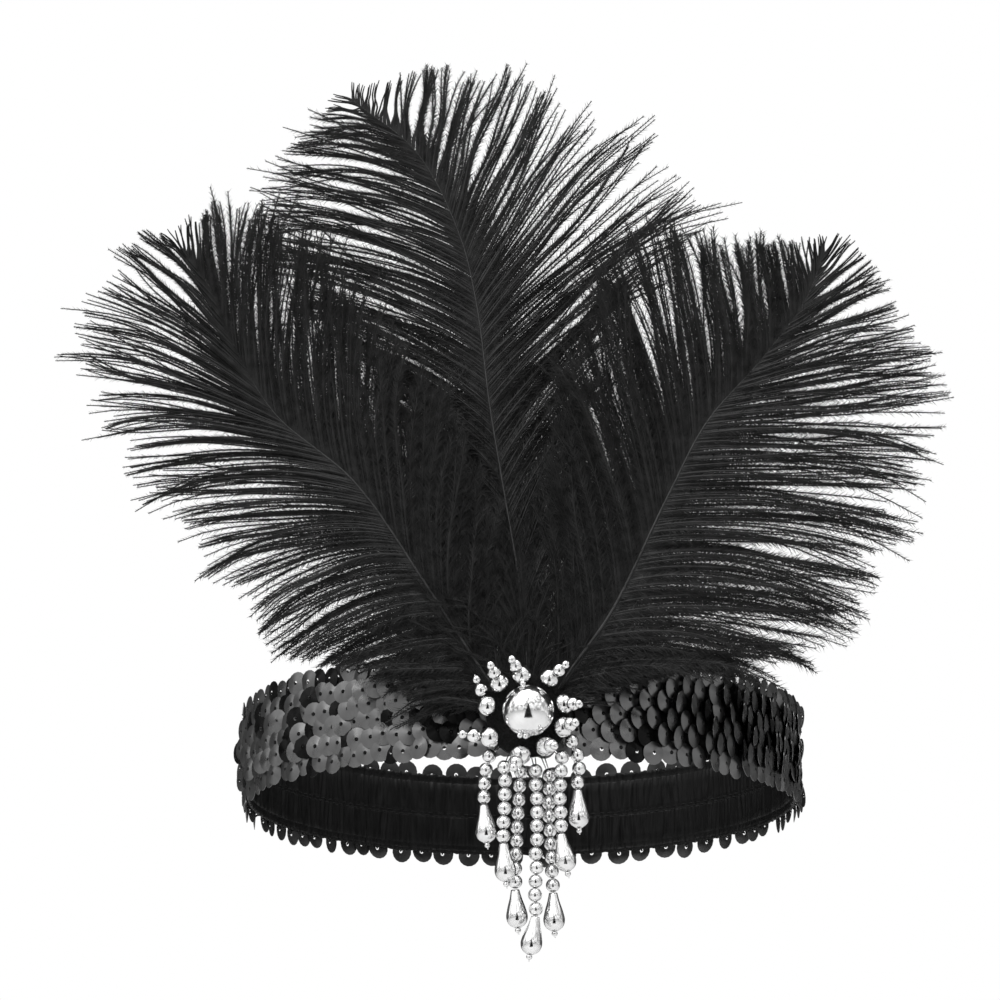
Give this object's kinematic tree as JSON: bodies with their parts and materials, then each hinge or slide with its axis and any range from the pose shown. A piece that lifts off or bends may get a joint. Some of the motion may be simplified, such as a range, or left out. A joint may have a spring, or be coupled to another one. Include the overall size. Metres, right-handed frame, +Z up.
{
  "type": "feather headband",
  "caption": "Oval elastic headband covered with sequins, with upright ostrich plumes at the front and a bead brooch whose strands hang below the band.",
  "frame": {"origin": "middle of the oval head opening, at half the height of the band", "axes": "+Z up as worn, -Y towards the brooch at the front, +X to the viewer's right when facing the brooch"},
  "size_m": [0.2518, 0.2105, 0.2665],
  "materials": {
    "elastic": "matte gathered elastic webbing",
    "sequin": "glossy black plastic film",
    "feather": "dyed ostrich barbs with a soft sheen",
    "felt": "matte felt",
    "silver_bead": "bright metallised plastic"
  },
  "bodies": {
    "root": {"elastic_band": "elastic", "sequin_rows": "sequin", "feather_left": "feather", "feather_centre": "feather", "feather_right": "feather", "brooch_base": "felt", "centre_ball": "silver_bead", "ray_1": "silver_bead", "ray_2": "silver_bead", "ray_3": "silver_bead", "ray_4": "silver_bead", "ray_5": "silver_bead", "ray_6": "silver_bead", "ray_7": "silver_bead", "ray_8": "silver_bead", "ray_9": "silver_bead", "strand_1": "silver_bead", "strand_2": "silver_bead", "strand_3": "silver_bead", "strand_4": "silver_bead", "strand_5": "silver_bead", "strand_6": "silver_bead", "strand_7": "silver_bead", "drop_1": "silver_bead", "drop_2": "silver_bead", "drop_3": "silver_bead", "drop_4": "silver_bead", "drop_5": "silver_bead", "drop_6": "silver_bead", "drop_7": "silver_bead"}
  },
  "joints": []
}
